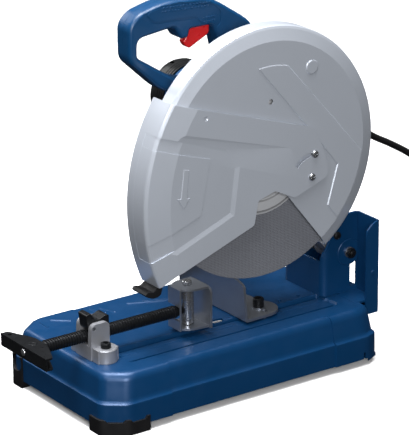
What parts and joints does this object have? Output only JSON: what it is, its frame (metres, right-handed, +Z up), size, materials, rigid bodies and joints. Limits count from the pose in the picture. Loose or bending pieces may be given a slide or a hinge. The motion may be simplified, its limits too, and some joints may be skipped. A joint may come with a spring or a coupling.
{
  "type": "abrasive chop saw",
  "caption": "Bench chop saw with an abrasive cut-off wheel on a spring-raised arm, a retracting guard, a loop handle with trigger, an angled fence and a quick-release screw vise.",
  "frame": {"origin": "on the floor, under the middle of the tool's bounding box with the mains cord left out", "axes": "+X from the vise crank to the rear pivot, +Y from the wheel side to the motor side, +Z up, square to the table"},
  "size_m": [0.8293, 0.2981, 0.5572],
  "materials": {
    "blue_paint": "satin blue powder coat",
    "blue_plastic": "satin blue moulding",
    "guard_metal": "satin silver coat",
    "zinc_plate": "zinc plated sheet",
    "cast_metal": "as cast, light grey",
    "black_oxide": "black oxide",
    "plain_steel": "plain steel",
    "bush_metal": "sintered bronze",
    "rotor_iron": "laminated iron with copper windings",
    "winding": "varnished copper windings",
    "black_plastic": "black moulding",
    "red_plastic": "red moulding",
    "black_rubber": "moulded black rubber",
    "abrasive": "resin-bonded grit with woven reinforcement",
    "label_paper": "printed paper ring, left blank"
  },
  "bodies": {
    "base": {"base_pan": "blue_paint", "foot_front_near": "black_rubber", "foot_front_far": "black_rubber", "foot_rear_near": "black_rubber", "foot_rear_far": "black_rubber", "pivot_bracket": "blue_paint", "pivot_shaft": "plain_steel", "pivot_bolt": "black_oxide", "pivot_nut": "black_oxide", "stop_screw": "black_oxide", "return_spring": "plain_steel", "spindle_bracket": "cast_metal", "bracket_screw_near": "black_oxide", "bracket_screw_far": "black_oxide", "pawl_pin": "plain_steel", "fence_washer": "zinc_plate", "fence_bolt": "black_oxide", "power_cord": "black_rubber", "cord_coil": "black_rubber", "mains_plug": "black_rubber"},
    "pawl": {"half_nut_pawl": "black_oxide"},
    "jaw_carrier": {"swivel_barrel": "zinc_plate", "jaw_pin": "plain_steel"},
    "jaw": {"vise_jaw": "zinc_plate"},
    "spindle": {"vise_spindle": "black_oxide", "crank_handle": "black_oxide", "crank_rivet": "plain_steel"},
    "fence": {"fence": "zinc_plate"},
    "arm": {"arm_casting": "cast_metal", "gear_cover": "cast_metal", "motor_housing": "blue_paint", "motor_end_cap": "black_plastic", "brush_cap": "black_plastic", "field_coil": "winding", "spindle_bearing_front": "plain_steel", "spindle_bearing_rear": "plain_steel", "motor_bearing_front": "plain_steel", "motor_bearing_rear": "plain_steel", "pivot_bush_near": "bush_metal", "pivot_bush_far": "bush_metal", "handle_near": "blue_plastic", "handle_far": "blue_plastic", "power_switch": "black_plastic", "fixed_guard": "guard_metal", "guard_pivot_screw": "plain_steel", "guard_slot_screw": "plain_steel", "cord_boot": "black_rubber"},
    "guard": {"swing_guard": "guard_metal", "guard_bumper": "black_rubber"},
    "wheel": {"cutting_wheel": "abrasive", "wheel_label": "label_paper", "inner_flange": "plain_steel", "outer_flange": "plain_steel", "clamp_bolt": "black_oxide", "output_spindle": "plain_steel", "drive_gear": "plain_steel"},
    "rotor": {"armature": "rotor_iron", "cooling_fan": "black_plastic"},
    "trigger": {"trigger": "red_plastic"},
    "lock": {"spindle_lock": "black_plastic"}
  },
  "joints": [
    {"name": "arm_swing", "type": "hinge", "parent": "base", "child": "arm", "pos_m": [0.2604, -0.03775, 0.1445], "axis": [0, 1, 0], "range_deg": [-20.8, 0], "stiffness_Nm_per_rad": 40, "springref_deg": 35.52, "deforming": ["power_cord"]},
    {"name": "guard_swing", "type": "hinge", "parent": "arm", "child": "guard", "pos_m": [0.164, -0.10275, 0.2893], "axis": [0, 1, 0], "range_deg": [0, 31.2]},
    {"name": "disc_spin", "type": "hinge", "parent": "arm", "child": "wheel", "pos_m": [0.092, -0.08375, 0.3302], "axis": [0, 1, 0], "continuous": true},
    {"name": "rotor_spin", "type": "hinge", "parent": "arm", "child": "rotor", "pos_m": [0.1054, 0.04225, 0.365], "axis": [0, 1, 0], "continuous": true},
    {"name": "trigger_press", "type": "slide", "parent": "arm", "child": "trigger", "axis": [0, 0, 1], "range_m": [0, 0.0035], "stiffness_N_per_m": 800, "springref_m": -0.003},
    {"name": "lock_press", "type": "slide", "parent": "arm", "child": "lock", "axis": [1, 0, 0], "range_m": [0, 0.0025], "stiffness_N_per_m": 600, "springref_m": -0.002},
    {"name": "fence_swing", "type": "hinge", "parent": "base", "child": "fence", "pos_m": [0.1114, -0.04875, 0.086], "axis": [0, 0, 1], "range_deg": [-45, 0]},
    {"name": "pawl_lift", "type": "hinge", "parent": "base", "child": "pawl", "pos_m": [-0.1766, -0.04575, 0.13], "axis": [0, 1, 0], "range_deg": [-60, 0]},
    {"name": "spindle_slide", "type": "slide", "parent": "base", "child": "jaw_carrier", "axis": [1, 0, 0], "range_m": [-0.095, 0.03]},
    {"name": "jaw_swivel", "type": "hinge", "parent": "jaw_carrier", "child": "jaw", "pos_m": [-0.0096, -0.04575, 0.12], "axis": [0, 0, 1], "range_deg": [-12, 30]},
    {"name": "crank_turn", "type": "hinge", "parent": "jaw_carrier", "child": "spindle", "pos_m": [-0.1256, -0.04575, 0.115], "axis": [1, 0, 0], "continuous": true}
  ],
  "couplings": [
    {"joint": "guard_swing", "follows": "arm_swing", "ratio": -1.5},
    {"joint": "rotor_spin", "follows": "disc_spin", "ratio": -5.25}
  ]
}
